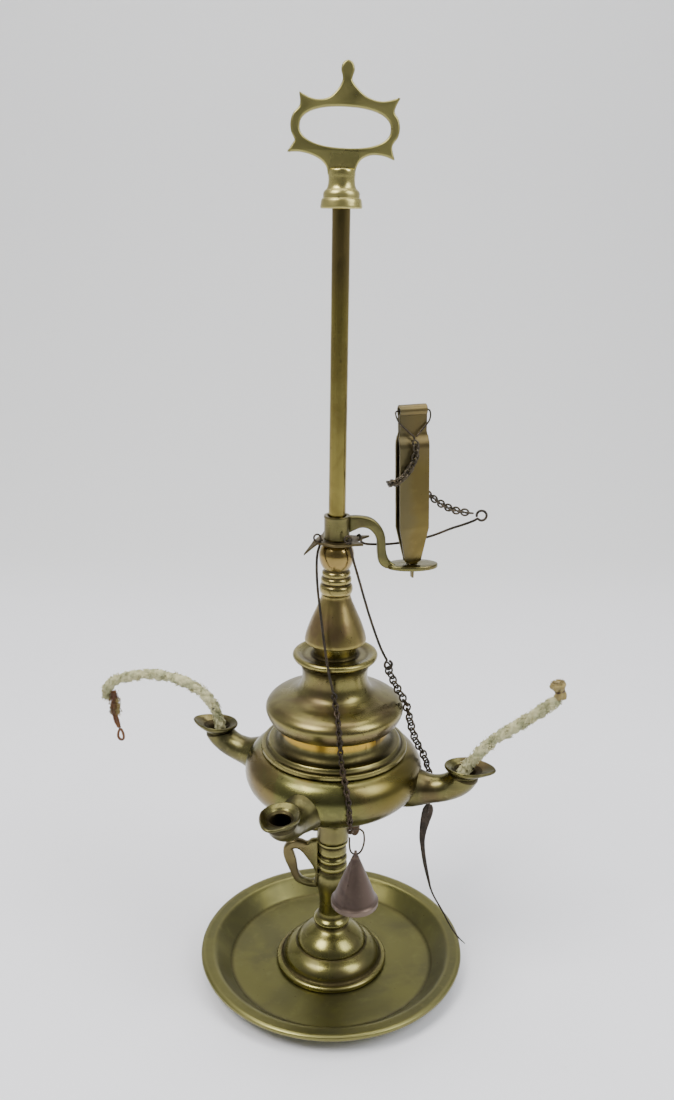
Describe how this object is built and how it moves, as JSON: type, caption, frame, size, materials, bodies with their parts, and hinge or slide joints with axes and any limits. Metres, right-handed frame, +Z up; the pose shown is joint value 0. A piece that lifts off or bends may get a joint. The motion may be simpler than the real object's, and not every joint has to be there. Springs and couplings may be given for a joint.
{
  "type": "standing oil lamp",
  "caption": "Brass rod lamp: spouted oil reservoir with domed cover sliding and turning on a rod above a dish foot, handle on top, with snuffer, wick pick and tweezers on chains.",
  "frame": {"origin": "centre of the tray's flat underside, on the axis of the rod, on the table", "axes": "+Z up along the rod, +X to the viewer's right, +Y away from the viewer, as the lamp is seen in its main view"},
  "size_m": [0.2631, 0.17, 0.4975],
  "materials": {
    "aged_brass": "aged olive-yellow brass, satin, darker in the grooves",
    "bright_brass": "handled brass, polished, with brown tarnish",
    "dark_brass": "dark brown tarnished brass, dull",
    "brown_brass": "reddish-brown heat-stained sheet brass, satin",
    "dark_wire": "near-black iron wire, dull",
    "cotton": "twisted cotton wick, cream, fuzzy",
    "thread": "twisted reddish-brown binding at the wick end"
  },
  "bodies": {
    "base": {"tray": "aged_brass", "rod": "bright_brass", "stem": "aged_brass", "ear_handle": "aged_brass", "finial": "aged_brass"},
    "height_collar": {"height_collar": "aged_brass"},
    "thumbscrew": {"thumbscrew": "dark_brass"},
    "reservoir": {"reservoir_bowl": "aged_brass", "reservoir_neck": "bright_brass", "oil_tube": "aged_brass", "spout_right": "aged_brass", "spout_back": "aged_brass", "spout_left": "aged_brass", "spout_front": "aged_brass", "wick_left": "cotton", "wick_tie_left": "thread", "wick_right": "cotton", "wick_tie_right": "thread"},
    "cover": {"cover": "aged_brass", "cone": "aged_brass", "ringed_ball": "bright_brass"},
    "chain_plate": {"chain_plate": "dark_brass", "snuffer_wire": "dark_wire", "snuffer_chain": "brown_brass", "pick_wire": "dark_wire", "pick_chain": "dark_wire", "tether_wire": "dark_wire"},
    "snuffer": {"snuffer": "brown_brass", "snuffer_loop": "dark_wire"},
    "pick": {"pick": "dark_wire"},
    "bracket": {"bracket": "aged_brass"},
    "tweezers": {"tweezers": "brown_brass", "tweezers_bail": "dark_wire", "tweezers_chain": "dark_wire"}
  },
  "joints": [
    {"name": "reservoir_lift", "type": "slide", "parent": "base", "child": "height_collar", "axis": [0, 0, 1], "range_m": [0, 0.12]},
    {"name": "thumbscrew_turn", "type": "hinge", "parent": "height_collar", "child": "thumbscrew", "pos_m": [0.0127, 0, 0.092], "axis": [1, 0, 0], "range_deg": [0, 720]},
    {"name": "reservoir_turn", "type": "hinge", "parent": "height_collar", "child": "reservoir", "pos_m": [0, 0, 0.0974], "axis": [0, 0, 1], "continuous": true},
    {"name": "cover_lift", "type": "slide", "parent": "reservoir", "child": "cover", "axis": [0, 0, 1], "range_m": [0, 0.02]},
    {"name": "chain_plate_turn", "type": "hinge", "parent": "cover", "child": "chain_plate", "pos_m": [0, 0, 0.2648], "axis": [0, 0, 1], "range_deg": [0, 30]},
    {"name": "snuffer_swing", "type": "hinge", "parent": "chain_plate", "child": "snuffer", "pos_m": [0.0095, -0.0516, 0.1195], "axis": [-1, 0, 0], "range_deg": [-10, 60]},
    {"name": "pick_swing", "type": "hinge", "parent": "chain_plate", "child": "pick", "pos_m": [0.0555, -0.0028, 0.1105], "axis": [0, -1, 0], "range_deg": [-2.5, 50]},
    {"name": "bracket_turn", "type": "hinge", "parent": "cover", "child": "bracket", "pos_m": [0, 0, 0.272], "axis": [0, 0, 1], "range_deg": [-60, 0]},
    {"name": "tweezers_lift", "type": "slide", "parent": "bracket", "child": "tweezers", "axis": [0, 0, 1], "range_m": [0, 0.04]}
  ]
}
